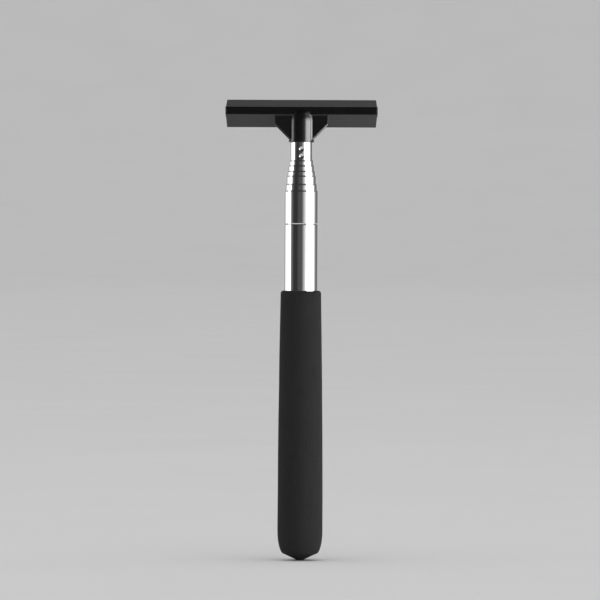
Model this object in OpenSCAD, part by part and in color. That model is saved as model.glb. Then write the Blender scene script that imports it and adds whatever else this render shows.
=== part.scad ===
// Telescopic window squeegee: a two-blade head on a seven-section steel tube, with a foam grip.
// Frame: origin at the middle of the grip's bottom, +Z up the tube, +X along the blades,
// and -Y out of the front of the head. Modelled pushed together, which is joint value 0.

/* [Tubes] */
// Outside diameter of the outermost tube
tube_od = 16.4; // [13:0.1:20]
// Difference in diameter from one tube to the next
od_step = 0.95; // [0.85:0.05:1.15]
// Wall of every tube
tube_wall = 0.3; // [0.2:0.02:0.32]
// Height of the outermost tube's mouth above the bottom of the grip
outer_mouth_z = 176.8; // [150:0.1:215]
// How far each inner tube stands out of the one around it, from the second tube to the sixth
mouth_rises = [3.1, 4.0, 2.2, 2.7, 2.4]; // [2:0.1:8]
// Bare length of the innermost tube between the second mouth and the head
innermost_show = 8.3; // [6:0.1:20]
// Height of the outermost tube's lower end
outer_foot_z = 8; // [7:0.1:14]
// Travel of each sliding stage
stage_travel = 126.66; // [70:0.01:128]
// Height of a rolled-in mouth
mouth_h = 0.9; // [0.6:0.1:1.5]
// Distance of the rolled guide groove below each mouth
groove_drop = 16.3; // [12:0.1:20]
// Width of a rolled groove or bead
bead_w = 1.2; // [0.8:0.1:2]

/* [Fits] */
// Radial clearance where a mouth or a groove guides the tube inside it
guide_clear = 0.06; // [0.05:0.01:0.08]
// Radial clearance of a raised bead inside the next tube
bead_clear = 0.05; // [0.04:0.01:0.06]
// Radial clearance on each face of a friction sleeve
sleeve_clear = 0.03; // [0.02:0.005:0.04]
// End clearance of a friction sleeve between its two beads
sleeve_play = 0.15; // [0.1:0.05:0.3]
// Gap under the inner tubes' feet when the tube is pushed together
rest_gap = 0.1; // [0.05:0.05:0.3]
// Gap between a blade and the moulding around it
blade_clear = 0.05; // [0.03:0.01:0.1]

/* [Friction sleeves] */
// Length of a friction sleeve
sleeve_len = 9; // [6:0.5:12]
// Width of the slit along a sleeve
sleeve_slit = 2; // [1:0.1:3]
// Length of the short end slots that let a sleeve spring
finger_len = 3; // [2:0.5:4]

/* [Grip] */
// Height of the foam grip
grip_h = 128.8; // [105:0.1:140]
// Thickness of the foam around the outer tube, near the bottom of the grip
foam_t = 2.55; // [2:0.05:5]
// Thickness of the foam at the top of the grip
foam_top_t = 1.47; // [1.4:0.01:4]
// Length of the end plug inside the outer tube
plug_len = 12; // [8:0.5:12]
// Thickness of the end plug's flange
plug_flange = 1.5; // [1:0.1:2.5]
// Wall of the end plug
plug_wall = 1.4; // [1:0.1:2.5]

/* [Head] */
// Length of the blade holder, over its end caps
head_w = 72.6; // [60:0.1:90]
// Thickness of an end cap
cap_t = 0.6; // [0.4:0.1:1.5]
// Height of the holder's front band
band_h = 3.86; // [3.4:0.02:5]
// Distance of the band's front face in front of the tube's axis
band_front = 4.0; // [3.8:0.1:5]
// Forward pitch of the blades' centre plane, in degrees
head_pitch = 5.1; // [0:0.05:12]
// Height of the band's middle above the neck's rim
band_rise = 15.1; // [14:0.1:20]
// Wall of the neck around its socket
neck_wall = 0.67; // [0.6:0.01:1.5]
// Height over which the top of the neck curves back into the band
neck_round = 8; // [2:0.1:8]
// How far the neck curves back at its top
neck_lean = 2.1; // [1:0.1:2.5]
// Depth of the socket that takes the innermost tube
socket_h = 6; // [4:0.1:7]
// Radial gap around the tube in its socket
socket_gap = 0.08; // [0.05:0.01:0.15]
// Length of the stem inside the innermost tube, below the rim
stem_drop = 9.5; // [9:0.1:20]
// Reach of each web beyond the neck
web_reach = 6.6; // [5:0.1:12]
// Thickness of the webs
web_t = 1.6; // [1.2:0.1:2.4]
// Step of the webs behind the band's front face
web_step = 0.35; // [0.2:0.05:0.6]
// Drop of the webs' straight outer edges below the band's middle
web_edge_drop = 6.9; // [4:0.1:8]

/* [Blades] */
// Thickness of a blade where it leaves the holder
blade_t = 1.2; // [1:0.1:1.4]
// Thickness of a blade at its edge
blade_edge_t = 0.8; // [0.5:0.1:1]
// Reach of a blade from its bead to its edge
blade_reach = 12.7; // [8:0.05:15]
// Angle of each blade to the middle plane between them, in degrees
blade_angle = 23.8; // [18:0.1:32]
// How far a blade's root stands past the end caps' inner faces on each side
blade_over = 0.4; // [0:0.05:0.6]
// How much a blade's ends slant in from its root to its edge on each side
blade_slant = 0.5; // [0:0.05:2]
// Diameter of the bead that holds a blade
blade_bead_d = 1.8; // [1.6:0.1:2]

/* [Dimples] */
// Diameter of the punch that makes the dimples
punch_d = 2.4; // [1.8:0.1:3]
// Depth of a dimple
dimple_depth = 0.35; // [0.2:0.05:0.5]
// Drop of the two dimples below the neck's rim
dimple_drops = [3.3, 6.7]; // [2:0.1:9]

/* [Hidden] */
$fn = 96;
eps = 0.01;
TUBES = 7;
gap = od_step / 2 - tube_wall;
plug_top_z = outer_foot_z + plug_len;
foot_z = plug_top_z + rest_gap;
blade_w = head_w - 2 * cap_t;

// Tube 1 is the innermost and tube 7 the outermost.
function tube_r(i) = (tube_od - (TUBES - i) * od_step) / 2;
function bore_r(i) = tube_r(i) - tube_wall;
function sum_to(v, n) = n <= 0 ? 0 : v[n - 1] + sum_to(v, n - 1);
function mouth_z(i) = outer_mouth_z + sum_to(mouth_rises, TUBES - i);
rim_z = mouth_z(2) + innermost_show;
tube_1_top_z = rim_z + socket_h;
function groove_z(i) = mouth_z(i) - groove_drop;

// Tube i's upper bead stops against the groove of the tube around it after one stage's travel.
stop_pitch = 0.4 * bead_w;
function upper_bead_z(i) = groove_z(i + 1) - stop_pitch - stage_travel;
function sleeve_top_z(i) = upper_bead_z(i) - bead_w / 2 - sleeve_play;
function lower_bead_z(i) = sleeve_top_z(i) - sleeve_len - sleeve_play - bead_w / 2;

// How far the wall moves at height dz from the middle of a rolled groove or bead: a cosine wave.
function wave(dz) = (1 + cos(360 * dz / bead_w)) / 2;
WAVE = [for (k = [-3 : 3]) k * bead_w / 6];
function rolled(r, z, depth) = [for (dz = WAVE) [r + depth * wave(dz), z + dz]];
function flipped(v) = [for (k = [len(v) - 1 : -1 : 0]) v[k]];

roll_in = gap - guide_clear;
roll_out = gap - bead_clear;

// One face of a wall whose radius is r, from the foot up past the two raised beads.
function inner_tube_side(i, r) = concat(
    [[r, foot_z]],
    rolled(r, lower_bead_z(i), roll_out),
    rolled(r, upper_bead_z(i), roll_out));
// The same face at the top: the groove, then the mouth rolled in to guide the next tube.
function mouth_side(i, r) = concat(
    rolled(r, groove_z(i), -roll_in),
    [[r, mouth_z(i) - 2 * mouth_h], [r - roll_in, mouth_z(i) - mouth_h], [r - roll_in, mouth_z(i)]]);

// A tube between the innermost and the outermost: two beads below, a groove and a mouth above.
module middle_tube(i) {
    color("silver")
        rotate_extrude()
            polygon(concat(
                inner_tube_side(i, tube_r(i)), mouth_side(i, tube_r(i)),
                flipped(concat(inner_tube_side(i, bore_r(i)), mouth_side(i, bore_r(i))))));
}

module outer_tube() {
    color("silver")
        rotate_extrude()
            polygon(concat(
                [[tube_r(7), outer_foot_z]], mouth_side(7, tube_r(7)),
                flipped(concat([[bore_r(7), outer_foot_z]], mouth_side(7, bore_r(7))))));
}

module tube_6() { middle_tube(6); }
module tube_5() { middle_tube(5); }
module tube_4() { middle_tube(4); }
module tube_3() { middle_tube(3); }
module tube_2() { middle_tube(2); }

// The punch's round nose, set so that it sinks dimple_depth into a face at radius r.
module dimple_noses(r, grow = 0) {
    for (drop = dimple_drops)
        translate([0, -(r - dimple_depth + punch_d / 2), rim_z - drop])
            sphere(d = punch_d + 2 * grow, $fn = 48);
}

// The innermost tube: closed on the head's stem and locked to it by two punched dimples.
module tube_1() {
    color("silver")
        difference() {
            union() {
                rotate_extrude()
                    polygon(concat(
                        inner_tube_side(1, tube_r(1)), [[tube_r(1), tube_1_top_z]],
                        flipped(concat(inner_tube_side(1, bore_r(1)), [[bore_r(1), tube_1_top_z]]))));
                intersection() {
                    dimple_noses(tube_r(1), tube_wall);
                    translate([0, 0, rim_z - stem_drop])
                        cylinder(r = tube_r(1) - tube_wall / 2, h = stem_drop);
                }
            }
            dimple_noses(tube_r(1));
        }
}

// A split spring sleeve around tube i. It grips the bore of the tube outside it.
module friction_sleeve(i) {
    r_in = tube_r(i) + sleeve_clear;
    r_out = bore_r(i + 1) - sleeve_clear;
    z0 = sleeve_top_z(i) - sleeve_len;
    color("goldenrod")
        difference() {
            translate([0, 0, z0]) cylinder(r = r_out, h = sleeve_len);
            translate([0, 0, z0 - 1]) cylinder(r = r_in, h = sleeve_len + 2);
            translate([0, -sleeve_slit / 2, z0 - 1]) cube([r_out + 1, sleeve_slit, sleeve_len + 2]);
            for (a = [120, 240])
                rotate([0, 0, a])
                    translate([0, -sleeve_slit / 4, z0 + sleeve_len - finger_len])
                        cube([r_out + 1, sleeve_slit / 2, finger_len + 1]);
        }
}

module sleeve_6() { friction_sleeve(6); }
module sleeve_5() { friction_sleeve(5); }
module sleeve_4() { friction_sleeve(4); }
module sleeve_3() { friction_sleeve(3); }
module sleeve_2() { friction_sleeve(2); }
module sleeve_1() { friction_sleeve(1); }

// A hollow plug pressed into the outer tube's foot. The inner tubes stand on it when closed.
module end_plug() {
    color("dimgray")
        difference() {
            union() {
                translate([0, 0, outer_foot_z - plug_flange]) cylinder(r = tube_r(7), h = plug_flange);
                translate([0, 0, outer_foot_z - eps])
                    cylinder(r = bore_r(7), h = plug_top_z - outer_foot_z + eps);
            }
            translate([0, 0, outer_foot_z - plug_flange - 1])
                cylinder(r = bore_r(7) - plug_wall, h = plug_top_z - outer_foot_z + plug_flange + 1 - plug_wall);
        }
}

grip_r = tube_r(7) + foam_t;
grip_top_r = tube_r(7) + foam_top_t;

// The grip's outside: a small nub, a shallow cone, a round shoulder and a slow taper to the top.
nub_flat_r = 1.5;
nub_edge_h = 0.1;
nub_r = 2.5;
nub_h = 0.6;
cone_r = 7.6;
cone_h = 3.0;
shoulder_h = 14;
taper_z = 25;
grip_edge = 1.4;
taper_power = 1.7;
function shoulder(k) = [
    cone_r + (grip_r - cone_r) * sin(k),
    cone_h + (shoulder_h - cone_h) * (1 - cos(k))];
function taper(t) = [
    grip_r - (grip_r - grip_top_r) * pow(t, taper_power),
    taper_z + (grip_h - grip_edge - taper_z) * t];
function top_edge(k) = [
    grip_top_r - grip_edge * (1 - cos(k)),
    grip_h - grip_edge * (1 - sin(k))];
grip_outline = concat(
    [[0, 0], [nub_flat_r, nub_edge_h], [nub_r, nub_h]],
    [for (k = [0 : 10 : 90]) shoulder(k)],
    [for (t = [0 : 0.2 : 1]) taper(t)],
    [for (k = [30 : 30 : 90]) top_edge(k)]);

module foam_grip() {
    bore_foot_z = outer_foot_z - plug_flange;
    color([0.13, 0.13, 0.14])
        rotate_extrude()
            polygon(concat(grip_outline, [[tube_r(7), grip_h], [tube_r(7), bore_foot_z], [0, bore_foot_z]]));
}

// The head's section is drawn in u, backwards from the band's face, and v, upwards, then pitched.
band_z = rim_z + band_rise;
neck_r = tube_r(1) + socket_gap + neck_wall;
web_half_w = neck_r + web_reach;
bead_u = 2.0;
bead_v = 1.15;
holder_u = 5.5;
band_bevel = 0.3;
lip_u = 2.2;
nose_flare = 0.55;
web_clear = 0.3;
web_tuck = 0.6;
rim_chamfer = 0.3;
socket_roof = 0.8;
dimple_clear = 0.05;
root_share = 0.35;
beyond = 40;
module section_frame() {
    translate([0, -band_front, band_z])
        rotate([-head_pitch, 0, 0])
            children();
}

module pitched(x0, w) {
    section_frame()
        translate([x0, 0, 0])
            rotate([90, 0, 90])
                linear_extrude(height = w) children();
}

// One blade's section: a bead, a straight root and a taper to the edge.
module blade_section() {
    root = blade_t / 2;
    edge = blade_edge_t / 2;
    taper_x = blade_reach * root_share;
    translate([bead_u, bead_v]) rotate(blade_angle) {
        circle(d = blade_bead_d, $fn = 48);
        polygon([[0, -root], [taper_x, -root], [blade_reach, -edge],
            [blade_reach, edge], [taper_x, root], [0, root]]);
    }
}

module slot_section() {
    translate([bead_u, bead_v]) rotate(blade_angle) {
        circle(d = blade_bead_d + 2 * blade_clear, $fn = 48);
        translate([0, -blade_t / 2 - blade_clear])
            square([blade_reach + web_clear, blade_t + 2 * blade_clear]);
    }
}

// The holder's section: the bevelled band in front, spreading to the nose between the blades.
module holder_outline(grow = 0) {
    h = band_h / 2 + grow;
    polygon([
        [band_bevel - grow, -h], [-grow, -h + band_bevel], [-grow, h - band_bevel],
        [band_bevel - grow, h], [lip_u, h], [holder_u + grow, h + nose_flare],
        [holder_u + grow, -h - nose_flare], [lip_u, -h]]);
}

// A blade drawn full length, with slanted ends, and notched at its root to clear the end caps.
module blade() {
    root_x = blade_w / 2 + blade_over;
    edge_x = root_x - blade_slant;
    edge_u = bead_u + blade_reach;
    difference() {
        intersection() {
            pitched(-head_w / 2, head_w) children();
            section_frame()
                translate([0, 0, -beyond / 2])
                    linear_extrude(height = beyond)
                        polygon([[-root_x, -bead_u], [root_x, -bead_u], [edge_x, edge_u], [-edge_x, edge_u]]);
        }
        for (x0 = [-head_w / 2 - cap_t, blade_w / 2])
            pitched(x0, 2 * cap_t) holder_outline(blade_clear);
    }
}

module upper_blade() {
    color([0.25, 0.25, 0.26]) blade() blade_section();
}

module lower_blade() {
    color([0.27, 0.27, 0.28]) blade() mirror([0, 1]) blade_section();
}

module blade_slots() {
    pitched(-head_w / 2, head_w) {
        slot_section();
        mirror([0, 1]) slot_section();
    }
}

// What the lower blade needs to itself: all that lies behind its front face, above its edge.
module behind_lower_blade() {
    reach_z = tube_1_top_z + socket_roof;
    intersection() {
        pitched(-head_w / 2, head_w)
            mirror([0, 1])
                translate([bead_u, bead_v]) rotate(blade_angle)
                    translate([-blade_bead_d / 2, -beyond])
                        square([2 * beyond, beyond + blade_t / 2 + web_clear]);
        translate([-head_w / 2, -beyond, reach_z]) cube([head_w, 2 * beyond, beyond]);
    }
}

web_foot_half_w = neck_r - web_tuck;
module web_plate() {
    edge_z = band_z - web_edge_drop;
    foot_z = edge_z - (web_half_w - web_foot_half_w);
    top_z = band_z - band_h / 2 + web_tuck;
    translate([0, -band_front + web_step + web_t, 0])
        rotate([90, 0, 0])
            linear_extrude(height = web_t)
                polygon([
                    [-web_half_w, top_z], [-web_half_w, edge_z], [-web_foot_half_w, foot_z],
                    [web_foot_half_w, foot_z], [web_half_w, edge_z], [web_half_w, top_z]]);
}

// The neck: a round post that curves back at its top and runs out flush in the band's face.
module neck_post() {
    round_z = band_z - neck_round;
    rotate_extrude()
        polygon(concat(
            [[0, rim_z], [neck_r - rim_chamfer, rim_z], [neck_r, rim_z + rim_chamfer]],
            [for (k = [0 : 10 : 90]) [
                neck_r - neck_lean * (1 - cos(k)), round_z + neck_round * sin(k)]],
            [[0, band_z]]));
}

module socket_ring() {
    translate([0, 0, rim_z - 1])
        difference() {
            cylinder(r = tube_r(1) + socket_gap, h = socket_h + 1 + rest_gap);
            translate([0, 0, -1]) cylinder(r = bore_r(1), h = socket_h + 3);
        }
}

// The moulded head: blade holder, webs, neck, and the stem that plugs the innermost tube.
module head_body() {
    color([0.07, 0.07, 0.07])
        difference() {
            union() {
                pitched(-blade_w / 2, blade_w) holder_outline();
                difference() {
                    union() {
                        neck_post();
                        web_plate();
                    }
                    behind_lower_blade();
                }
                translate([0, 0, rim_z - stem_drop])
                    cylinder(r = bore_r(1), h = stem_drop + socket_h + socket_roof / 2);
            }
            blade_slots();
            socket_ring();
            dimple_noses(tube_r(1), tube_wall + dimple_clear);
            cap_pegs(cap_peg_len + peg_play);
        }
}

// Two pegs key the end caps into the holder's nose.
cap_peg_d = 1.2;
cap_peg_len = 4;
peg_play = 0.2;
peg_u = 4.4;
module cap_pegs(length, sides = [-1, 1]) {
    for (side = sides)
        pitched(side > 0 ? blade_w / 2 - length : -blade_w / 2 - eps, length + eps)
            translate([peg_u, 0]) circle(d = cap_peg_d, $fn = 32);
}

module end_cap(side) {
    color([0.07, 0.07, 0.07]) {
        pitched(side > 0 ? blade_w / 2 : -head_w / 2, cap_t) holder_outline();
        cap_pegs(cap_peg_len, [side]);
    }
}

module end_cap_left() { end_cap(-1); }
module end_cap_right() { end_cap(1); }

outer_tube();
tube_6();
tube_5();
tube_4();
tube_3();
tube_2();
tube_1();
sleeve_6();
sleeve_5();
sleeve_4();
sleeve_3();
sleeve_2();
sleeve_1();
end_plug();
foam_grip();
head_body();
upper_blade();
lower_blade();
end_cap_left();
end_cap_right();
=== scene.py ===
# %% [markdown]
# # A telescopic window squeegee
# The real tool is a black moulded head with two rubber blades, on a seven-section polished steel
# tube with a foam grip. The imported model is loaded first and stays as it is. Each piece below is
# then made in the same frame and rides on the body that carries it in the real tool.

# %% Load the frame
import math

import bmesh
import bpy
import numpy as np
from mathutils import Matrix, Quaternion, Vector


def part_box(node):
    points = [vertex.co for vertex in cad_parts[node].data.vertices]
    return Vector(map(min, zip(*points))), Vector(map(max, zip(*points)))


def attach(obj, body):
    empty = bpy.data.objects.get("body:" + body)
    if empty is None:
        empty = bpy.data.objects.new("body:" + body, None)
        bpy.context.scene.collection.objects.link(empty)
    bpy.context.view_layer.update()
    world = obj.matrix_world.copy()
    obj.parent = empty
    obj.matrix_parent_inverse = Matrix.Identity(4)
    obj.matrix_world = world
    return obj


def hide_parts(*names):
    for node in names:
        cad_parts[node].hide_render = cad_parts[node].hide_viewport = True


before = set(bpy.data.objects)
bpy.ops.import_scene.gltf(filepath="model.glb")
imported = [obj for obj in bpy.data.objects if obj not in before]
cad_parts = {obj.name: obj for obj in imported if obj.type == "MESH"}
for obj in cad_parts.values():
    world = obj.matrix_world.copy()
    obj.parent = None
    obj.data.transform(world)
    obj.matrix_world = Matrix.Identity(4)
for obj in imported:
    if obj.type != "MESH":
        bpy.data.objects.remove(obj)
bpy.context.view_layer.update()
MM = 0.001

# %% [markdown]
# Every length is a name in millimetres, as a drawing gives it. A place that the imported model
# already holds is read from its box, so that a piece can't drift away from its solid.

# %% Sizes read from the frame
def low(node, axis):
    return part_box(node)[0][axis] / MM


def high(node, axis):
    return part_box(node)[1][axis] / MM


TUBES = ["tube_1", "tube_2", "tube_3", "tube_4", "tube_5", "tube_6", "outer_tube"]
OD_STEP = 0.95
TUBE_WALL = 0.3
tube_r = {name: high("outer_tube", 0) - (6 - i) * OD_STEP / 2 for i, name in enumerate(TUBES)}
mouth_z = {name: high(name, 2) for name in TUBES}
foot_z = {name: low(name, 2) for name in TUBES}
print("radii", {name: round(r, 3) for name, r in tube_r.items()})
print("mouths", {name: round(z, 2) for name, z in mouth_z.items()})

# %% [markdown]
# Node trees for finishes and for Geometry Nodes are written as Python expressions. A Wire is
# one output socket. Adding or multiplying wires adds the Math nodes that do it, so a formula
# reads as it would on paper.

# %% Wires
class Wire:
    """An output socket that adds Math nodes when it is used in an expression."""

    def __init__(self, tree, socket):
        self.tree = tree
        self.socket = socket

    def math(self, operation, *values):
        inputs = dict(enumerate(values))
        return self.tree.node("ShaderNodeMath", {"operation": operation}, inputs)

    def __add__(self, other):
        return self.math("ADD", self, other)

    def __sub__(self, other):
        return self.math("SUBTRACT", self, other)

    def __rsub__(self, other):
        return self.math("SUBTRACT", other, self)

    def __mul__(self, other):
        return self.math("MULTIPLY", self, other)

    def __truediv__(self, other):
        return self.math("DIVIDE", self, other)

    def __lt__(self, other):
        return self.math("LESS_THAN", self, other)

    def __mod__(self, other):
        return self.math("MODULO", self, other)

    __radd__ = __add__
    __rmul__ = __mul__

    def of(self, operation):
        return self.math(operation, self)


# %% [markdown]
# Every other node comes from one method, Tree.node. It takes the node's type, its settings,
# which can change what sockets it has, and then the values or wires of those sockets.

# %% Trees
class Tree:
    """A node tree with one way to add a node."""

    def __init__(self, tree):
        self.tree = tree

    def node(self, kind, settings=None, inputs=None, out=0):
        node = self.tree.nodes.new(kind)
        for name, value in (settings or {}).items():
            if name == "items":
                for _ in range(value - len(node.index_switch_items)):
                    node.index_switch_items.new()
            else:
                setattr(node, name, value)
        for name, value in (inputs or {}).items():
            if isinstance(value, Wire):
                self.tree.links.new(value.socket, node.inputs[name])
            else:
                node.inputs[name].default_value = value
        return Wire(self, node.outputs[out])


# %% [markdown]
# A finish starts from one Principled shader. Detail comes from noise on Object coordinates, so
# a pattern keeps its real size and stays on its piece when the tube slides. Only what varies
# over the surface is linked. The rest is set as a number on the shader itself.

# %% Finish helpers
def start_finish(name, **constants):
    """A new material with a Principled shader: (material, tree, shader node)."""
    material = bpy.data.materials.new(name)
    material.use_nodes = True
    shader = material.node_tree.nodes["Principled BSDF"]
    for socket, value in constants.items():
        shader.inputs[socket.replace("_", " ")].default_value = value
    return material, Tree(material.node_tree), shader


def stretched(tree, scale):
    """Object coordinates, stretched by a scale for each axis."""
    place = tree.node("ShaderNodeTexCoord", out="Object")
    return tree.node("ShaderNodeMapping", inputs={"Vector": place, "Scale": scale})


def noise(tree, scale, detail=2.0, roughness=0.5):
    """Grey noise with a feature size for each axis, in millimetres."""
    per_metre = [1 / (size * MM) for size in scale]
    return tree.node("ShaderNodeTexNoise", {"noise_dimensions": "3D"}, {
        "Vector": stretched(tree, per_metre), "Scale": 1.0, "Detail": detail,
        "Roughness": roughness})


def tint(tree, factor, dark, light):
    """A colour between two, by a factor from 0 to 1."""
    return tree.node("ShaderNodeMix", {"data_type": "RGBA"}, {
        0: factor, 6: (*dark, 1), 7: (*light, 1)}, out=2)


def link_finish(tree, shader, sockets, height=None, bump_mm=0.0, strength=1.0):
    """Link the varying sockets of a finish, and its height as a bump."""
    for name, wire in sockets.items():
        tree.tree.links.new(wire.socket, shader.inputs[name])
    if height is not None:
        bump = tree.node("ShaderNodeBump", inputs={
            "Height": height, "Distance": bump_mm * MM, "Strength": strength})
        tree.tree.links.new(bump.socket, shader.inputs["Normal"])


# %% [markdown]
# The tube sections are stainless steel, drawn long and then polished. Under the mirror there
# are still very fine lines along each tube, and handling leaves faint smears that blur the
# reflection a little. Both are small, because the eye reads them from the reflection's edges.

# %% Polished steel
def polished_steel():
    material, tree, shader = start_finish("polished_steel", Metallic=1.0)
    lines = noise(tree, (0.12, 0.12, 60.0), detail=3)
    smears = noise(tree, (9.0, 9.0, 16.0), detail=3)
    roughness = 0.03 + 0.03 * smears + 0.015 * lines
    colour = tint(tree, 0.6 * smears + 0.4 * lines, (0.80, 0.80, 0.81), (0.90, 0.90, 0.905))
    link_finish(tree, shader, {"Base Color": colour, "Roughness": roughness},
                lines, bump_mm=0.0006)
    return material


STEEL = polished_steel()
print("finish", STEEL.name)

# %% [markdown]
# The head is moulded in a hard black plastic from a polished mould. Its gloss is slightly
# uneven, like lacquer: a very low ripple a few millimetres long. Light dust and wiping marks
# change the roughness in patches.

# %% Gloss plastic
def gloss_plastic():
    material, tree, shader = start_finish("gloss_plastic", IOR=1.5)
    ripple = noise(tree, (2.2, 2.2, 2.2), detail=1)
    wiped = noise(tree, (7.0, 2.5, 7.0), detail=4)
    grain = noise(tree, (0.25, 0.25, 0.25), detail=2)
    roughness = 0.13 + 0.10 * wiped + 0.03 * grain
    colour = tint(tree, wiped, (0.0048, 0.0048, 0.0050), (0.0085, 0.0085, 0.0088))
    link_finish(tree, shader, {"Base Color": colour, "Roughness": roughness},
                ripple + 0.04 * grain, bump_mm=0.02)
    return material


GLOSS = gloss_plastic()
print("finish", GLOSS.name)

# %% [markdown]
# The blades are cut from an extruded strip of soft rubber, so every mark on them runs along
# the blade. The die leaves fine lines, and a little pale bloom and dust sits between them.

# %% Blade rubber
def blade_rubber():
    material, tree, shader = start_finish("blade_rubber", IOR=1.5)
    die_lines = noise(tree, (60.0, 0.22, 0.22), detail=3)
    bloom = noise(tree, (14.0, 1.6, 1.6), detail=4, roughness=0.6)
    grain = noise(tree, (0.12, 0.12, 0.12), detail=2)
    shade = 0.45 * die_lines + 0.35 * bloom + 0.2 * grain
    colour = tint(tree, shade, (0.016, 0.016, 0.017), (0.050, 0.050, 0.052))
    roughness = 0.5 + 0.18 * bloom
    link_finish(tree, shader, {"Base Color": colour, "Roughness": roughness},
                die_lines + 0.3 * grain, bump_mm=0.025)
    return material


RUBBER = blade_rubber()
print("finish", RUBBER.name)

# %% [markdown]
# The grip is a closed-cell rubber foam, ground to shape. Grinding opens the outer cells, so
# the surface is a field of tiny pits between thin walls. A Voronoi distance gives pits of one
# size, and two noises vary their depth and the colour from patch to patch. The same distance
# also paints each pit darker than its walls, as painted shade in the hollows.

# %% Grip foam
FOAM_CELL = 0.42


def grip_foam():
    material, tree, shader = start_finish("grip_foam", IOR=1.45, Specular_IOR_Level=0.35)
    place = stretched(tree, [1 / (FOAM_CELL * MM)] * 3)
    cells = tree.node("ShaderNodeTexVoronoi", {"feature": "F1"},
                      {"Vector": place, "Scale": 1.0}, out="Distance")
    fine = noise(tree, (0.16, 0.16, 0.16), detail=3)
    patches = noise(tree, (3.5, 3.5, 6.0), detail=4)
    pits = 1 - cells
    # The colour is darker where the Voronoi distance is small, at the bottom of each pit: painted
    # shade. The patches and the fine noise are the foam's own tone.
    shade = 0.35 * cells + 0.3 * patches + 0.35 * fine
    colour = tint(tree, shade, (0.0065, 0.0065, 0.0067), (0.0245, 0.0245, 0.0255))
    roughness = 0.74 + 0.2 * fine
    link_finish(tree, shader, {"Base Color": colour, "Roughness": roughness},
                cells * (0.6 + 0.8 * patches) + 0.35 * fine - 0.2 * pits, bump_mm=0.09)
    return material


FOAM = grip_foam()
print("finish", FOAM.name)

# %% [markdown]
# The friction sleeves are rolled from spring bronze strip and only show when the tool is taken
# apart. The end plug is a grey moulded part inside the grip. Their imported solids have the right
# shape, so they keep it and get a finish.

# %% Bronze and plug plastic
def sleeve_bronze():
    material, tree, shader = start_finish("sleeve_bronze", Metallic=1.0)
    brushed = noise(tree, (0.3, 0.3, 12.0), detail=4)
    stains = noise(tree, (2.5, 2.5, 3.0), detail=4)
    colour = tint(tree, stains, (0.46, 0.25, 0.09), (0.72, 0.46, 0.20))
    link_finish(tree, shader, {"Base Color": colour, "Roughness": 0.24 + 0.22 * stains},
                brushed, bump_mm=0.006)
    return material


def plug_plastic():
    material, tree, shader = start_finish("plug_plastic", IOR=1.5)
    texture = noise(tree, (0.3, 0.3, 0.3), detail=3)
    flow = noise(tree, (5.0, 5.0, 2.0), detail=3)
    colour = tint(tree, flow, (0.030, 0.031, 0.033), (0.055, 0.056, 0.060))
    link_finish(tree, shader, {"Base Color": colour, "Roughness": 0.42 + 0.2 * texture},
                texture, bump_mm=0.015)
    return material


BRONZE = sleeve_bronze()
PLUG = plug_plastic()
CARRIED = {"end_plug": PLUG, **{f"sleeve_{i}": BRONZE for i in range(1, 7)}}
for node_name, material in CARRIED.items():
    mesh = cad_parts[node_name].data
    mesh.materials.clear()
    mesh.materials.append(material)
print("carried over", sorted(CARRIED))

# %% [markdown]
# Each piece made here is one mesh at the origin. It gets its finish, rides on its body, and
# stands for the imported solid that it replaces.

# %% Placing a piece
def make_mesh(name, points_mm, faces):
    """A smooth mesh object from points in millimetres, merged and facing outwards."""
    mesh = bpy.data.meshes.new(name)
    mesh.from_pydata((np.asarray(points_mm, float) * MM).tolist(), [], faces)
    shape = bmesh.new()
    shape.from_mesh(mesh)
    bmesh.ops.remove_doubles(shape, verts=shape.verts, dist=1e-3 * MM)
    bmesh.ops.recalc_face_normals(shape, faces=shape.faces)
    shape.to_mesh(mesh)
    shape.free()
    mesh.shade_smooth()
    piece = bpy.data.objects.new(name, mesh)
    bpy.context.scene.collection.objects.link(piece)
    return piece


def fit_piece(piece, body, node_name, material):
    """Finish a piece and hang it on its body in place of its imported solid."""
    piece.data.materials.clear()
    piece.data.materials.append(material)
    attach(piece, body)
    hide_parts(node_name)
    print(piece.name, "rides on", body, "with", len(piece.data.polygons), "faces")


# %% [markdown]
# Six of the seven tubes follow one rule. The wall runs up from a rounded foot, swells at two
# rolled beads that hold the friction sleeve, dips at a guide groove, and ends in a rolled-in
# mouth. The rings crowd where the wall bends. Each bend begins and ends with one straight
# step, which keeps the shading of the long walls true.

# %% Wall of a rolled tube
RINGS = 11
SEGMENTS = 192
FEATURES = 6
ROLLED_SIZES = ["Radius", "Wall", "Foot", "Lower bead", "Upper bead", "Groove", "Mouth",
                "Bead height", "Groove depth", "Bead width", "Mouth height", "Lip radius"]


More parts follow.
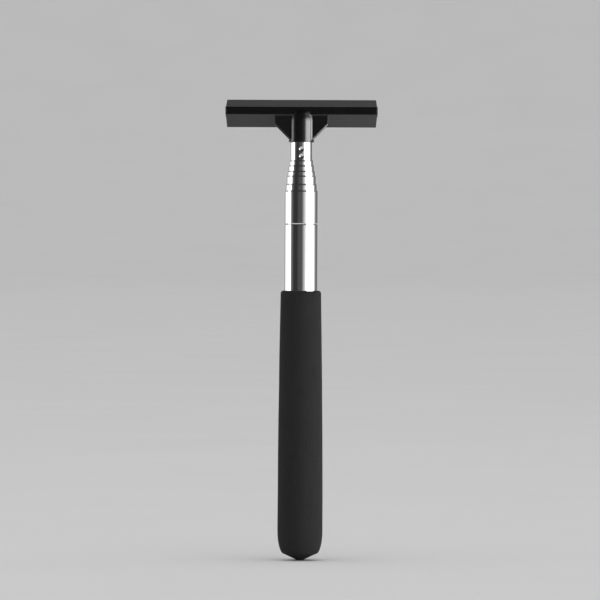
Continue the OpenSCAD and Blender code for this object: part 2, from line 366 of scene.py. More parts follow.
def rolled_wall(tree, size, row):
    """Radius and height of a ring, counted from the foot up the outside and down the inside."""
    per_side = RINGS * FEATURES
    inner = 1 - (row < per_side - 0.5)
    step = row * (1 - inner) + (2 * per_side - 1 - row) * inner
    feature = (step / RINGS + 0.001).of("FLOOR")
    t = (step - feature * RINGS) / (RINGS - 1)
    turn = t * (math.pi / 2)
    bend = t * (RINGS - 1) / (RINGS - 3) - 1 / (RINGS - 3)
    bend = bend.math("MINIMUM", bend.math("MAXIMUM", bend, 0.0), 1.0)
    wave = 0.5 - 0.5 * (bend * math.tau).of("COSINE")
    ramp = 0.5 - 0.5 * (bend * math.pi).of("COSINE")
    rise = (t - 0.5) * size["Bead width"]
    lip = size["Lip radius"]
    heights = [
        size["Foot"] + lip * (1 - turn.of("COSINE")),
        size["Lower bead"] + rise,
        size["Upper bead"] + rise,
        size["Groove"] + rise,
        size["Mouth"] - lip + size["Mouth height"] * (t - 1),
        size["Mouth"] - lip * (1 - turn.of("SINE"))]
    bead = size["Bead height"] * wave
    shifts = [0.0, bead, bead, size["Groove depth"] * wave * -1.0,
              size["Groove depth"] * ramp * -1.0, size["Groove depth"] * -1.0]
    insets = [lip * (1 - turn.of("SINE")), 0.0, 0.0, 0.0, 0.0, lip * (1 - turn.of("COSINE"))]

    def pick(choices):
        return tree.node("GeometryNodeIndexSwitch", {"data_type": "FLOAT", "items": FEATURES},
                         {"Index": feature, **{i + 1: c for i, c in enumerate(choices)}})

    radius = size["Radius"] + pick(shifts) - size["Wall"] * inner
    return radius + pick(insets) * (2 * inner - 1), pick(heights)


# %% [markdown]
# One Geometry Nodes tree bends a flat grid into the wall: its rows become the rings, and its
# columns go round the axis. A screw modifier could turn a profile too, but here the sizes are
# named inputs, and each tube only gives its own.

# %% Rolled tube tree
def rolled_tube_tree():
    group = bpy.data.node_groups.new("Rolled tube", "GeometryNodeTree")
    for name in ROLLED_SIZES:
        group.interface.new_socket(name, in_out="INPUT", socket_type="NodeSocketFloat")
    group.interface.new_socket("Finish", in_out="INPUT", socket_type="NodeSocketMaterial")
    group.interface.new_socket("Tube", in_out="OUTPUT", socket_type="NodeSocketGeometry")
    tree = Tree(group)
    given = group.nodes.new("NodeGroupInput")
    size = {name: Wire(tree, given.outputs[name]) for name in ROLLED_SIZES}
    rows = 2 * RINGS * FEATURES
    grid = tree.node("GeometryNodeMeshGrid", inputs={
        "Size X": 1.0, "Size Y": 1.0, "Vertices X": SEGMENTS + 1, "Vertices Y": rows + 1})
    place = tree.node("GeometryNodeInputPosition")
    across = tree.node("ShaderNodeSeparateXYZ", inputs={0: place}, out="X")
    along = tree.node("ShaderNodeSeparateXYZ", inputs={0: place}, out="Y")
    row = ((along + 0.5) * rows).of("ROUND") % rows
    radius, height = rolled_wall(tree, size, row)
    angle = (across + 0.5) * math.tau
    spot = tree.node("ShaderNodeCombineXYZ", inputs={
        "X": radius * angle.of("COSINE"), "Y": radius * angle.of("SINE"), "Z": height})
    turned = tree.node("GeometryNodeSetPosition", inputs={"Geometry": grid, "Position": spot})
    closed = tree.node("GeometryNodeMergeByDistance", inputs={
        "Geometry": turned, "Distance": 2e-3 * MM})
    smooth = tree.node("GeometryNodeSetShadeSmooth", inputs={"Geometry": closed})
    real = tree.node("GeometryNodeRealizeInstances", inputs={"Geometry": smooth})
    done = tree.node("GeometryNodeSetMaterial", inputs={
        "Geometry": real, "Material": Wire(tree, given.outputs["Finish"])})
    result = group.nodes.new("NodeGroupOutput")
    group.links.new(done.socket, result.inputs["Tube"])
    return group


ROLLED_TUBE = rolled_tube_tree()
print("tree", ROLLED_TUBE.name, "with", len(ROLLED_TUBE.nodes), "nodes")

# %% [markdown]
# A tube's beads, groove and mouth are placed by the fit between sections, so they are worked
# out from the same few sizes for every tube. The outer tube has no beads, because nothing
# slides around it, so its bead height is nought.

# %% Sizes of the six tubes
GUIDE_GAP = 0.06
BEAD_GAP = 0.05
GROOVE_DROP = 16.3
BEAD_W = 1.2
MOUTH_H = 0.9
LIP_R = 0.1
STAGE_TRAVEL = 126.66
SLEEVE_LEN = 9.0
SLEEVE_PLAY = 0.15
STEP_GAP = OD_STEP / 2 - TUBE_WALL


def bead_heights(i):
    """Heights of the lower and the upper bead of tube i, counted from the innermost as 0."""
    upper = mouth_z[TUBES[i + 1]] - GROOVE_DROP - 0.4 * BEAD_W - STAGE_TRAVEL
    return upper - BEAD_W - SLEEVE_LEN - 2 * SLEEVE_PLAY, upper


def set_input(modifier, name, value):
    """Set a tree's input by its socket's identifier."""
    for item in modifier.node_group.interface.items_tree:
        if item.item_type == "SOCKET" and item.in_out == "INPUT" and item.name == name:
            modifier[item.identifier] = value


# %% [markdown]
# The tree is run once for each tube on an empty mesh. Its result is taken as a plain mesh, so
# that nothing live is left on a finished piece.

# %% Roll the tubes
def roll_tube(i):
    name = TUBES[i]
    is_outer = name == "outer_tube"
    foot = foot_z[name]
    lower, upper = (foot + 20, foot + 40) if is_outer else bead_heights(i)
    sizes = {
        "Radius": tube_r[name], "Wall": TUBE_WALL, "Foot": foot, "Lower bead": lower,
        "Upper bead": upper, "Groove": mouth_z[name] - GROOVE_DROP, "Mouth": mouth_z[name],
        "Bead height": 0.0 if is_outer else STEP_GAP - BEAD_GAP,
        "Groove depth": STEP_GAP - GUIDE_GAP, "Bead width": BEAD_W, "Mouth height": MOUTH_H,
        "Lip radius": LIP_R}
    blank = bpy.data.objects.new("blank", bpy.data.meshes.new("blank"))
    bpy.context.scene.collection.objects.link(blank)
    modifier = blank.modifiers.new("Rolled tube", "NODES")
    modifier.node_group = ROLLED_TUBE
    for size_name, value in sizes.items():
        set_input(modifier, size_name, value * MM)
    set_input(modifier, "Finish", STEEL)
    seen = blank.evaluated_get(bpy.context.evaluated_depsgraph_get())
    mesh = bpy.data.meshes.new_from_object(seen)
    bpy.data.objects.remove(blank)
    piece = bpy.data.objects.new(name + "_steel", mesh)
    bpy.context.scene.collection.objects.link(piece)
    return piece


def face_outwards(mesh):
    """Turn a closed mesh's faces outwards."""
    shape = bmesh.new()
    shape.from_mesh(mesh)
    bmesh.ops.recalc_face_normals(shape, faces=shape.faces)
    shape.to_mesh(mesh)
    shape.free()


for i in range(1, 7):
    tube = roll_tube(i)
    face_outwards(tube.data)
    body = "handle" if i == 6 else f"stage_{i + 1}"
    fit_piece(tube, body, TUBES[i], STEEL)

# %% [markdown]
# A turned piece is an outline of radius and height points, spun about the tube's axis. It is
# used for the innermost tube and the grip, and later for the room and the tent.

# %% Turning an outline
def spin(outline, segments, closed=True):
    """Points and faces of an outline of (radius, height) points turned about Z."""
    outline = np.asarray(outline, float)
    angles = np.arange(segments) * math.tau / segments
    ring = np.stack([np.cos(angles), np.sin(angles)], 1)
    points = np.concatenate([
        outline[:, None, :1] * ring[None], np.repeat(outline[:, None, 1:], segments, 1)], 2)
    count = len(outline)
    faces = []
    for row in range(count if closed else count - 1):
        below, above = row * segments, (row + 1) % count * segments
        for k in range(segments):
            nxt = (k + 1) % segments
            faces.append((below + k, below + nxt, above + nxt, above + k))
    return points.reshape(-1, 3), faces


def arc(centre, radius, start, stop, count):
    """Points on an arc, with its angles in degrees."""
    turns = np.radians(np.linspace(start, stop, count))
    return [(centre[0] + radius * math.cos(a), centre[1] + radius * math.sin(a)) for a in turns]


# %% [markdown]
# The innermost tube has no groove or mouth, because nothing slides in it, so it is turned from
# an outline of its own. The wall gets close rings where the two dimples will be.

# %% Outline of the innermost tube
PUNCH_R = 2.2
PUNCH_SOFT = 0.07
DIMPLE_DEPTH = 0.4
DIMPLE_DROPS = (3.3, 6.7)
ROWS_BELOW, ROWS_ABOVE = 1.6, 1.7
CLOSE_STEP = 0.11
SOCKET_H = 6.0
rim_z = mouth_z["tube_1"] - SOCKET_H


def bead_side(radius, beads, height):
    """Points up one face of the wall past its two beads."""
    side = []
    for centre in beads:
        for dz in np.linspace(-BEAD_W / 2, BEAD_W / 2, RINGS):
            bend = min(0.5, abs(dz) / BEAD_W * (RINGS - 1) / (RINGS - 3))
            swell = height * (1 + math.cos(math.tau * bend)) / 2
            side.append((radius + swell, centre + dz))
    return side


def inner_tube_outline():
    r_out = tube_r["tube_1"]
    r_in = r_out - TUBE_WALL
    foot, top = foot_z["tube_1"], mouth_z["tube_1"]
    beads = bead_heights(0)
    lowest, highest = max(DIMPLE_DROPS) + ROWS_BELOW, min(DIMPLE_DROPS) - ROWS_ABOVE
    near = [rim_z - drop for drop in np.arange(lowest, highest, -CLOSE_STEP)]
    outside = [(r_out, z) for z in near]
    inside = [(r_in, z) for z in near[::2]]
    return (
        arc((r_out - LIP_R, foot + LIP_R), LIP_R, -90, 0, 5)
        + bead_side(r_out, beads, STEP_GAP - BEAD_GAP) + outside
        + arc((r_out - LIP_R, top - LIP_R), LIP_R, 0, 90, 5)
        + arc((r_in + LIP_R, top - LIP_R), LIP_R, 90, 180, 5)
        + inside[::-1] + bead_side(r_in, beads, STEP_GAP - BEAD_GAP)[::-1]
        + arc((r_in + LIP_R, foot + LIP_R), LIP_R, 180, 270, 5))


# %% [markdown]
# The innermost tube is locked to the head by two dimples, punched through its wall into the
# stem behind. A round-nosed punch leaves a bowl with a soft rolled rim. Each point under the
# punch is moved in by the punch's own round shape, on both faces of the wall.

# %% Punch the dimples
def punch(points, radius):
    """Move points on the front of a tube in, as the round punch does."""
    for drop in DIMPLE_DROPS:
        nose = np.array([0, -(radius - DIMPLE_DEPTH + PUNCH_R), rim_z - drop])
        away = np.hypot(points[:, 0], points[:, 2] - nose[2])
        front = points[:, 1] < 0
        reach = np.sqrt(np.clip(PUNCH_R**2 - away**2, 0, None))
        bowl = nose[1] + reach
        gap = bowl - points[:, 1]
        sunk = 0.5 * (gap + np.sqrt(gap**2 + PUNCH_SOFT**2)) - 0.5 * PUNCH_SOFT
        under = front & (away < PUNCH_R)
        points[under, 1] += np.clip(sunk, 0, None)[under]
    return points


outline = inner_tube_outline()
points, faces = spin(outline, 240)
wall = np.hypot(points[:, 0], points[:, 1])
is_outside = wall > tube_r["tube_1"] - TUBE_WALL / 2
points[is_outside] = punch(points[is_outside], tube_r["tube_1"])
points[~is_outside] = punch(points[~is_outside], tube_r["tube_1"] - TUBE_WALL)
inner_tube = make_mesh("tube_1_steel", points, faces)
fit_piece(inner_tube, "head_stage", "tube_1", STEEL)

# %% [markdown]
# The head is one moulding: a bevelled bar with two slots, a round neck and two webs, all run
# together with fillets. Fillets between a cylinder and a tilted bar are hard to draw as faces.
# They are easy in a distance field, where every part is a formula and a rounded union adds
# the fillet. The field's zero surface is then covered with a net of quads.

# %% Rounded joins of distance fields
def round_union(a, b, radius):
    ra, rb = np.maximum(radius - a, 0), np.maximum(radius - b, 0)
    return np.maximum(radius, np.minimum(a, b)) - np.sqrt(ra * ra + rb * rb)


def round_overlap(a, b, radius):
    ra, rb = np.maximum(radius + a, 0), np.maximum(radius + b, 0)
    return np.minimum(-radius, np.maximum(a, b)) + np.sqrt(ra * ra + rb * rb)


def round_cut(a, b, radius):
    return round_overlap(a, -b, radius)


# %% [markdown]
# The bar's section is drawn in u, backwards from its front face, and v, upwards, and the whole
# section is pitched a few degrees forward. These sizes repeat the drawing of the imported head.

# %% Head sizes
HEAD_PITCH = math.radians(5.1)
BAND_FRONT = 4.0
BAND_H = 3.86
BAND_RISE = 15.1
HOLDER_U = 5.5
LIP_U = 2.2
NOSE_FLARE = 0.55
BAND_EDGE_R = 0.32
BLADE_ANGLE = math.radians(23.8)
BLADE_T = 1.2
BLADE_EDGE_T = 0.8
BLADE_REACH = 12.7
BEAD_D = 1.8
BEAD_U, BEAD_V = 2.0, 1.15
BLADE_GAP = 0.05
BLADE_ROOT_X = 36.1
BLADE_EDGE_X = 35.6
NECK_R = 6.1
NECK_ROUND = 8.0
NECK_LEAN = 3.2
NECK_FOOT_R = 0.35
WEB_FILLET = 0.5
BAR_FILLET = 0.5
SOCKET_GAP = 0.08
WEB_HALF_W = 12.7
WEB_FRONT = BAND_FRONT - 0.35
WEB_T = 1.6
WEB_BEVEL = 0.75
WEB_EDGE_DROP = 6.9
band_z = rim_z + BAND_RISE
bar_half_w = high("head_body", 0)
cap_half_w = high("end_cap_right", 0)
print("band at", round(band_z, 2), "rim at", round(rim_z, 2), "half width", round(bar_half_w, 2))


def to_frame(x, u, v):
    """A point of the pitched section as x, y, z."""
    c, s = math.cos(HEAD_PITCH), math.sin(HEAD_PITCH)
    return x, -BAND_FRONT + u * c + v * s, band_z - u * s + v * c


# %% [markdown]
# The field of the head comes part by part. The bar is a pitched box that flares at the back,
# and each blade slot is a round bore for the bead with a narrow way out for the leaf.

# %% Bar and slots
def bar_section(u, v):
    spread = NOSE_FLARE * np.clip((u - LIP_U) / (HOLDER_U - LIP_U), 0, 1)
    ends = np.maximum(-u, u - HOLDER_U)
    return round_overlap(ends, np.abs(v) - BAND_H / 2 - spread, BAND_EDGE_R)


def slot_section(u, v):
    du, dv = u - BEAD_U, np.abs(v) - BEAD_V
    c, s = math.cos(BLADE_ANGLE), math.sin(BLADE_ANGLE)
    along, across = du * c + dv * s, dv * c - du * s
    bead = np.hypot(du, dv) - BEAD_D / 2 - BLADE_GAP
    leaf = np.maximum(-along, np.abs(across) - BLADE_T / 2 - BLADE_GAP)
    return round_union(bead, leaf, 0.1)


# %% [markdown]
# The neck is a cylinder whose top leans back into the bar. The webs are a thin plate with
# diagonal lower edges. Their front edge is eased, so that it takes a line of light.

# %% Neck and webs
def neck_field(x, y, z):
    up = np.clip((z - band_z) / NECK_ROUND + 1, 0, 0.985)
    level = (1 - up**4) ** 0.25
    tilt = NECK_LEAN / NECK_ROUND * (up / level) ** 3
    around = (np.hypot(x, y) - NECK_R + NECK_LEAN * (1 - level)) / np.sqrt(1 + tilt**2)
    return np.maximum(round_overlap(around, rim_z - z, NECK_FOOT_R), z - band_z)


def web_field(x, y, z):
    edge_z = band_z - WEB_EDGE_DROP
    diagonal = (np.abs(x) - WEB_HALF_W - (z - edge_z)) / math.sqrt(2)
    side = np.maximum(np.abs(x) - WEB_HALF_W, z - band_z + BAND_H / 2 - 0.6)
    outline = round_overlap(side, diagonal, 0.5)
    front = -WEB_FRONT - y
    bevel = (diagonal + front + WEB_BEVEL) / math.sqrt(2)
    plate = round_overlap(np.maximum(front, y + WEB_FRONT - WEB_T), bevel, 0.12)
    return round_overlap(outline, plate, 0.15)


def blade_room(y, z, u, v):
    """What the lower blade needs to itself behind the webs and the neck."""
    c, s = math.cos(BLADE_ANGLE), math.sin(BLADE_ANGLE)
    du, dv = u - BEAD_U, -v - BEAD_V
    along, across = du * c + dv * s, dv * c - du * s
    behind = np.maximum(-BEAD_D / 2 - along, across - BLADE_T / 2 - 0.3)
    return np.maximum(behind, rim_z + SOCKET_H + 0.8 - z)


# %% [markdown]
# The parts are joined with fillets, and the slots and the socket for the tube are cut last,
# as they are by cores in a mould.

# %% The whole head
def head_field(x, u, v):
    x, y, z = to_frame(x, u, v)
    post = round_union(neck_field(x, y, z), web_field(x, y, z), WEB_FILLET)
    post = round_cut(post, blade_room(y, z, u, v), 0.25)
    bar = round_overlap(bar_section(u, v), np.abs(x) - bar_half_w, 0.1)
    solid = round_union(bar, post, BAR_FILLET)
    solid = round_cut(solid, slot_section(u, v), 0.12)
    socket = np.maximum(np.hypot(x, y) - tube_r["tube_1"] - SOCKET_GAP, z - rim_z - SOCKET_H - 0.1)
    return round_cut(solid, socket, 0.08)


# %% [markdown]
# The net is a plain surface net. A cell of the grid that the surface crosses gets one vertex,
# and every grid edge that it crosses gets a quad between the four cells around it. It needs no
# table of cases, and its quads are more even than those of marching cubes.

# %% A net over a field
def crossed_cells(field):
    inside = field < 0
    count = sum(inside[i:i - 1 or None, j:j - 1 or None, k:k - 1 or None].astype(np.int8)
                for i in (0, 1) for j in (0, 1) for k in (0, 1))
    return np.argwhere((count > 0) & (count < 8))


def cell_points(axes, field, cells):
    """The middle of the points where the surface crosses each cell's edges."""
    total = np.zeros((len(cells), 3))
    hits = np.zeros(len(cells))
    for axis in range(3):
        p, q = [a for a in range(3) if a != axis]
        for a in (0, 1):
            for b in (0, 1):
                start = cells.copy()
                start[:, p] += a
                start[:, q] += b
                stop = start.copy()
                stop[:, axis] += 1
                f0, f1 = field[tuple(start.T)], field[tuple(stop.T)]
                hit = (f0 < 0) != (f1 < 0)
                share = np.where(hit, f0 / np.where(hit, f0 - f1, 1), 0)
                for k in range(3):
                    c0, c1 = axes[k][start[:, k]], axes[k][stop[:, k]]
                    total[:, k] += np.where(hit, c0 + share * (c1 - c0), 0)
                hits += hit
    return total / hits[:, None]


# %% [markdown]
# A quad is turned round where the surface faces the other way, so that all faces point out.

# %% Faces of the net
def net_faces(field, cells):
    number = np.full([n - 1 for n in field.shape], -1)
    number[tuple(cells.T)] = np.arange(len(cells))
    inside = field < 0
    faces = []
    for axis in range(3):
        p, q = (axis + 1) % 3, (axis + 2) % 3
        ahead = [slice(None)] * 3
        ahead[axis] = slice(1, None)
        back = [slice(None)] * 3
        back[axis] = slice(None, -1)
        edges = np.argwhere(inside[tuple(back)] != inside[tuple(ahead)])
        leaving = inside[tuple(edges.T)]
        corners = []
        for dp, dq in ((0, 0), (-1, 0), (-1, -1), (0, -1)):
            cell = edges.copy()
            cell[:, p] += dp
            cell[:, q] += dq
            corners.append(number[tuple(cell.T)])
        quads = np.stack(corners, 1)
        quads[~leaving] = quads[~leaving][:, ::-1]
        faces.append(quads)
    return np.concatenate(faces)


# %% [markdown]
# The first net is rough, because its points come from straight lines between samples. A few
# Newton steps along the slope bring every point onto the surface. The slope is kept as the
# normal, so that the gloss has no ripples from the grid.

# %% Draw the net tight
def slope(field, points, step=2e-3):
    parts = []
    for axis in range(3):
        shift = np.zeros(3)
        shift[axis] = step
        ahead, back = (points + shift).T, (points - shift).T
        parts.append((field(*ahead) - field(*back)) / (2 * step))
    return np.stack(parts, 1)


def cover(field, axes):
    """Vertices, quads and normals of a net drawn tight over a field."""
    sampled = field(axes[0][:, None, None], axes[1][None, :, None], axes[2][None, None, :])
    sampled = np.broadcast_to(sampled, [len(a) for a in axes])
    cells = crossed_cells(sampled)
    points = cell_points(axes, sampled, cells)
    for _ in range(4):
        grade = slope(field, points)
        size = np.maximum((grade**2).sum(1), 0.05)
        move = (field(*points.T) / size)[:, None] * grade
        points -= np.clip(move, -0.1, 0.1)
    return points, net_faces(sampled, cells), slope(field, points)


# %% [markdown]
# The grid is fine around the neck and webs. Along the rest of the bar the section never
# changes, so a few long cells are enough there.

# %% Cover the head
def ladder(*runs):
    """Grid lines through several (start, stop, step) runs."""
    lines = [np.arange(start, stop - 1e-9, step) for start, stop, step in runs]
    return np.concatenate([*lines, [runs[-1][1]]])


def object_from_net(name, net):
    points, faces, normals = net
    x, y, z = to_frame(*points.T)
    c, s = math.cos(HEAD_PITCH), math.sin(HEAD_PITCH)
    nx, nu, nv = normals.T
    turned = np.stack([nx, nu * c + nv * s, nv * c - nu * s], 1)
    turned /= np.linalg.norm(turned, axis=1)[:, None]
    mesh = bpy.data.meshes.new(name)
    mesh.from_pydata((np.stack([x, y, z], 1) * MM).tolist(), [], faces.tolist())
    mesh.validate()
    mesh.shade_smooth()
    mesh.normals_split_custom_set_from_vertices(turned.tolist())
    piece = bpy.data.objects.new(name, mesh)
    bpy.context.scene.collection.objects.link(piece)
    return piece


CELL = 0.155
reach = WEB_HALF_W + 1.2
end = bar_half_w
head_axes = [
    ladder((-end - 0.3, -end + 0.3, 0.1), (-end + 0.3, -reach, 1.5), (-reach, reach, CELL),
           (reach, end - 0.3, 1.5), (end - 0.3, end + 0.3, 0.1)),
    ladder((-2.8, 12.4, CELL)),
    ladder((-16.0, 3.4, CELL))]
head = object_from_net("head_moulding", cover(head_field, head_axes))
fit_piece(head, "head_stage", "head_body", GLOSS)

# %% [markdown]
# The two end caps close the bar's slots. They have the bar's outline and a softened outer edge.

# %% End caps
def cap_field(side):
    def field(x, u, v):
        thickness = np.maximum(bar_half_w - side * x, side * x - cap_half_w)
        return round_overlap(bar_section(u, v), thickness, 0.16)
    return field


for side, side_name in ((-1, "left"), (1, "right")):
    ends = sorted((side * (bar_half_w - 0.15), side * (cap_half_w + 0.15)))
    cap_axes = [
        ladder((ends[0], ends[1], 0.08)), ladder((-0.3, 5.8, 0.1)), ladder((-2.8, 2.8, 0.1))]
    cap = object_from_net(f"end_cap_{side_name}_moulding", cover(cap_field(side), cap_axes))
    fit_piece(cap, "head_stage", f"end_cap_{side_name}", GLOSS)

# %% [markdown]
# A blade is a straight extrusion, so its section tells everything: a round bead that the slot
# holds, a leaf that thins towards the wiping edge, and low ridges that the die leaves along
# both faces. The outline is drawn once and stretched along the bar.

# %% Blades
RIDGE_PITCH = 1.45
RIDGE_H = 0.05


def blade_outline():
    """Points round a blade's section, along it and across it, from its bead's middle."""
    root, edge, bead = BLADE_T / 2, BLADE_EDGE_T / 2, BEAD_D / 2
    leave = math.degrees(math.asin(root / bead))
    along = np.arange(math.cos(math.radians(leave)) * bead + 0.05, BLADE_REACH - 0.15, 0.07)
    thin = np.interp(along, [0, BLADE_REACH * 0.35, BLADE_REACH], [root, root, edge])
    fade = np.clip((along - 3.2) / 0.6, 0, 1) * np.clip((BLADE_REACH - 0.9 - along) / 0.6, 0, 1)
    ridge = RIDGE_H * fade * np.abs(np.sin(math.pi * along / RIDGE_PITCH)) ** 0.6
    face = np.stack([along, thin - RIDGE_H * fade + ridge], 1)
    tip = arc((BLADE_REACH - 0.12, edge - 0.12), 0.12, 90, 0, 4)
    below = [(a, -b) for a, b in reversed([*map(tuple, face), *tip])]
    return arc((0, 0), bead, 360 - leave, leave, 25) + [*map(tuple, face), *tip] + below


def draw_blade(name, side):
    section = np.array(blade_outline())
    c, s = math.cos(BLADE_ANGLE), math.sin(BLADE_ANGLE)
    u = BEAD_U + section[:, 0] * c - section[:, 1] * s
    v = side * (BEAD_V + section[:, 0] * s + section[:, 1] * c)
    soft = 0.08
    half_w = np.interp(section[:, 0], [0, BLADE_REACH], [BLADE_ROOT_X, BLADE_EDGE_X])
    stations = [(-1, 0, 0.985), (-1, soft, 1), (1, soft, 1), (1, 0, 0.985)]
    points = []
    for end, back, pull in stations:
        uu = u.mean() + (u - u.mean()) * pull
        vv = v.mean() + (v - v.mean()) * pull
        points.append(np.stack(to_frame(end * (half_w - back), uu, vv), 1))
    count = len(u)
    faces = []
    for row in range(len(stations) - 1):
        for k in range(count):
            nxt = (k + 1) % count
            here, ahead = row * count, (row + 1) * count
            faces.append((here + k, here + nxt, ahead + nxt, ahead + k))
    faces.append(tuple(range(count)))
    faces.append(tuple(range((len(stations) - 1) * count, len(stations) * count)))
    return make_mesh(name, np.concatenate(points), faces)


for blade_name, side in (("upper_blade", 1), ("lower_blade", -1)):
    blade = draw_blade(blade_name + "_rubber", side)
    fit_piece(blade, "head_stage", blade_name, RUBBER)

# %% [markdown]
# The grip is a foam sleeve with a closed, domed end and a small nub where it was cut off. Its
# outline is turned like wood, with a point every half millimetre or so.

# %% Outline of the foam grip
GRIP_R = 10.75
GRIP_TOP_R = 9.67
GRIP_EDGE = 1.4
NUB_R, NUB_H = 2.5, 0.6
CONE_R, CONE_H = 7.6, 3.0
SHOULDER_H = 14.0
TAPER_Z = 25.0
grip_h = high("foam_grip", 2)
bore_r = tube_r["outer_tube"]
bore_foot = low("end_plug", 2)


def shoulder_point(turn):
    return (CONE_R + (GRIP_R - CONE_R) * math.sin(turn),
            CONE_H + (SHOULDER_H - CONE_H) * (1 - math.cos(turn)))


def taper_point(t):
    return (GRIP_R - (GRIP_R - GRIP_TOP_R) * t**1.7,
            TAPER_Z + (grip_h - GRIP_EDGE - TAPER_Z) * t)


def spaced(outline, step):
    """The same line with a point at every step along it."""
    outline = np.asarray(outline, float)
    run = np.concatenate([[0], np.cumsum(np.linalg.norm(np.diff(outline, axis=0), axis=1))])
    marks = np.linspace(0, run[-1], max(2, round(run[-1] / step) + 1))
    return np.stack([np.interp(marks, run, outline[:, k]) for k in (0, 1)], 1)


def grip_outline():
    nub = [(0, 0.02), (1.2, 0.03), (1.9, 0.10), (2.3, 0.30), (NUB_R, NUB_H), (3.0, 0.86)]
    shoulder = [shoulder_point(a) for a in np.linspace(0, math.pi / 2, 24)]
    taper = [taper_point(t) for t in np.linspace(0, 1, 40)]
    edge = arc((GRIP_TOP_R - GRIP_EDGE, grip_h - GRIP_EDGE), GRIP_EDGE, 0, 90, 12)
    outside = spaced(nub + shoulder + taper + edge[1:], 0.55)
    bore = [(bore_r, grip_h), (bore_r, grip_h - 1), (bore_r, bore_foot + 1), (bore_r, bore_foot),
            (0, bore_foot)]
    return np.concatenate([outside, bore])


# %% [markdown]
# Foam is never quite true, so the surface swells and sinks by a few hundredths of a millimetre
# in a slow, smooth pattern. It is shaped in the mesh and not in a bump, because the grip's
# outline shows it too.

# %% Foam grip
def swell(points):
    """Slow unevenness of the foam, as a few waves round and along the grip."""
    radius = np.hypot(points[:, 0], points[:, 1])
    around = np.arctan2(points[:, 1], points[:, 0])
    z = points[:, 2]
    slow = (np.sin(2 * around + z / 17) * np.sin(z / 11 + 1) + 0.6 * np.sin(3 * around - z / 7.5)
            + 0.4 * np.sin(5 * around + z / 4.1))
    skin = np.clip((radius - bore_r) / 1.2, 0, 1) * np.clip(z / 6, 0, 1)
    points[:, :2] *= (1 + 0.028 * slow * skin / np.maximum(radius, 1))[:, None]
    return points


points, faces = spin(grip_outline(), 192, closed=False)
grip = make_mesh("grip_foam_sleeve", swell(points), faces)
fit_piece(grip, "handle", "foam_grip", FOAM)

# %% [markdown]
# The stage is a round pale room, so that any side of the tool has the same plain background.
# The floor runs up into the wall in one smooth curve and shows no corner. It is wide enough
# for a camera that steps far back to take in the tool at its full length.

# %% Floor and backdrop
def pale_finish():
    material, tree, shader = start_finish("pale_paint", Roughness=0.9, Specular_IOR_Level=0.0)
    mottle = noise(tree, (180.0, 180.0, 180.0), detail=3)
    colour = tint(tree, mottle, (0.72, 0.72, 0.725), (0.76, 0.76, 0.765))
    link_finish(tree, shader, {"Base Color": colour})
    return material


ROOM_R = 19000.0
CURVE_R = 6500.0
WALL_H = 8000.0
room_outline = ([(0, 0), (600, 0), (1500, 0), (4000, 0), (8000, 0)]
                + arc((ROOM_R - CURVE_R, CURVE_R), CURVE_R, -90, 0, 40) + [(ROOM_R, WALL_H)])
points, faces = spin(room_outline, 128, closed=False)
room = make_mesh("room", points, faces)
room.data.flip_normals()
room.data.materials.append(pale_finish())
print("room", room.dimensions[:])

# %% [markdown]
# Polished metal shows what stands around it. The tent is a round wall of light that only
# reflections see: a narrow soft box on the left, a wider and brighter one on the right, veils
# that fade their edges, a dark gap in front, and a plain grey behind. The boxes are bright low
# down and dim above, so that each rolled-in mouth, which leans back, reads as a thin darker
# line. Angles are in degrees from the front, and grow to the right.

# %% Sizes of the light tent
BOX_TOP = 0.32
BOX_REST = 0.08
LEFT_BOX = 2.6
RIGHT_BOX = 11.0
LEFT_VEIL = 0.09
RIGHT_VEIL = 0.9
FRONT_BOX = 0.05
WALL_GLOW = 0.037
SIDE_GLOW = 0.14
BACK_GLOW = 0.42
TENT_R, TENT_H = 1300, 1700


def strip(tree, angle, start, stop, soft_start, soft_stop):
    """1 between two angles in degrees, with a soft edge at each end."""
    rise = tree.node("ShaderNodeMapRange", {"interpolation_type": "SMOOTHSTEP"}, {
        "Value": angle, "From Min": start - soft_start, "From Max": start})
    fall = tree.node("ShaderNodeMapRange", {"interpolation_type": "SMOOTHSTEP"}, {
        "Value": angle, "From Min": stop, "From Max": stop + soft_stop,
        "To Min": 1.0, "To Max": 0.0})
    return rise * fall


# %% [markdown]
# The tent's glow is a sum of strips by angle. It feeds one Emission shader, and the tent is
# hidden from the camera, from shadows and from diffuse light.

# %% Tent
def tent_finish():
    material = bpy.data.materials.new("tent_light")
    material.use_nodes = True
    material.node_tree.nodes.clear()
    tree = Tree(material.node_tree)
    place = tree.node("ShaderNodeTexCoord", out="Object")
    x, y, z = (tree.node("ShaderNodeSeparateXYZ", inputs={0: place}, out=k) for k in "XYZ")
    angle = x.math("ARCTAN2", x, y * -1.0) * (180 / math.pi)
    low = strip(tree, z, -0.1, BOX_TOP, 0.01, 0.06) * (1 - BOX_REST) + BOX_REST
    left = strip(tree, angle, -92, -82, 10, 13) * LEFT_BOX + strip(tree, angle, -125, -82, 12, 13)
    left_veil = strip(tree, angle, -125, -66, 12, 20) * LEFT_VEIL
    right = strip(tree, angle, 46, 84, 14, 8) * RIGHT_BOX
    right_veil = strip(tree, angle, 36, 94, 36, 22) * RIGHT_VEIL
    front = strip(tree, angle, -14, 0, 14, 10) * FRONT_BOX
    side = strip(tree, angle.of("ABSOLUTE"), 84, 200, 30, 10) * SIDE_GLOW
    behind = strip(tree, angle.of("ABSOLUTE"), 152, 200, 16, 10) * BACK_GLOW
    boxes = left + left_veil + right + right_veil + front
    strength = WALL_GLOW + low * boxes + side + behind
    glow = tree.node("ShaderNodeEmission", inputs={"Strength": strength})
    done = material.node_tree.nodes.new("ShaderNodeOutputMaterial")
    material.node_tree.links.new(glow.socket, done.inputs["Surface"])
    return material


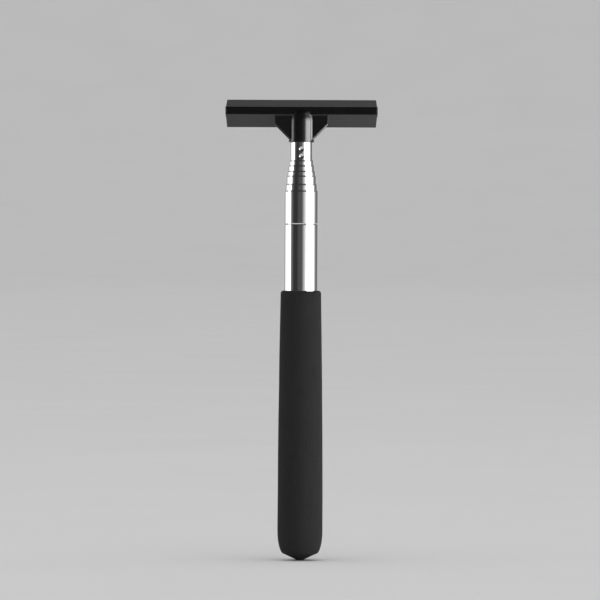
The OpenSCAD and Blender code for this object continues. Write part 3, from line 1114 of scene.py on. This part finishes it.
points, faces = spin([(TENT_R, 2), (TENT_R, TENT_H)], 96, closed=False)
tent = make_mesh("tent", points, faces)
tent.data.materials.append(tent_finish())
tent.visible_camera = False
tent.visible_shadow = False
tent.visible_diffuse = False
print("tent", tent.dimensions[:])

# %% [markdown]
# One large soft light from above gives the floor its tone and the upper faces their sheen. An
# even sky fills the shadows, and a small low light on the right draws a line along the eased
# edge of the web. Reflections see the tent and not the sky.

# %% Top light and sky
SKY = 0.75
TOP_LIGHT = 9
EDGE_LIGHT = 0.5


def soft_light(name, place, aim, size, power):
    light = bpy.data.lights.new(name, "AREA")
    light.shape = "DISK"
    light.size = size
    light.energy = power
    lamp = bpy.data.objects.new(name, light)
    lamp.location = place
    lamp.rotation_euler = (Vector(aim) - Vector(place)).to_track_quat("-Z", "Y").to_euler()
    bpy.context.scene.collection.objects.link(lamp)
    return lamp


top = soft_light("top_light", (0.2, -0.6, 3.0), (0, 0, 0.12), 1.8, TOP_LIGHT)
top.visible_glossy = False
glint = soft_light("low_right_glint", (0.22, -0.04, 0.01), (0, 0, 0.205), 0.15, EDGE_LIGHT)
glint.visible_diffuse = False
glint.visible_camera = False
world = bpy.data.worlds.new("sky")
world.use_nodes = True
world.node_tree.nodes["Background"].inputs["Color"].default_value = (1, 1, 1, 1)
world.node_tree.nodes["Background"].inputs["Strength"].default_value = SKY
bpy.context.scene.world = world
world.cycles_visibility.glossy = False
bpy.context.scene.view_settings.view_transform = "Standard"
print("lights", top.name, glint.name)

# %% [markdown]
# The camera stands three metres away with a long lens, level with the middle of the tool and
# a touch above it, so that the tube stays straight and the bar keeps its true height.

# %% Camera
CAMERA_AWAY = 3.0
VIEW_HEIGHT = 0.2865
CAMERA_RISE = math.radians(0.8)
CAMERA_ROLL = math.radians(0.22)
AIM = Vector((-0.0004, 0, 0.1243))
lens = bpy.data.cameras.new("camera")
lens.sensor_width = 36
lens.lens = lens.sensor_width * CAMERA_AWAY / VIEW_HEIGHT
lens.clip_end = 50
camera = bpy.data.objects.new("camera", lens)
camera.location = AIM + CAMERA_AWAY * Vector((0, -math.cos(CAMERA_RISE), math.sin(CAMERA_RISE)))
turn = (AIM - camera.location).to_track_quat("-Z", "Y")
camera.rotation_euler = (turn @ Quaternion((0, 0, 1), CAMERA_ROLL)).to_euler()
bpy.context.scene.collection.objects.link(camera)
bpy.context.scene.camera = camera
print("lens", round(lens.lens, 1), "mm at", camera.location[:])
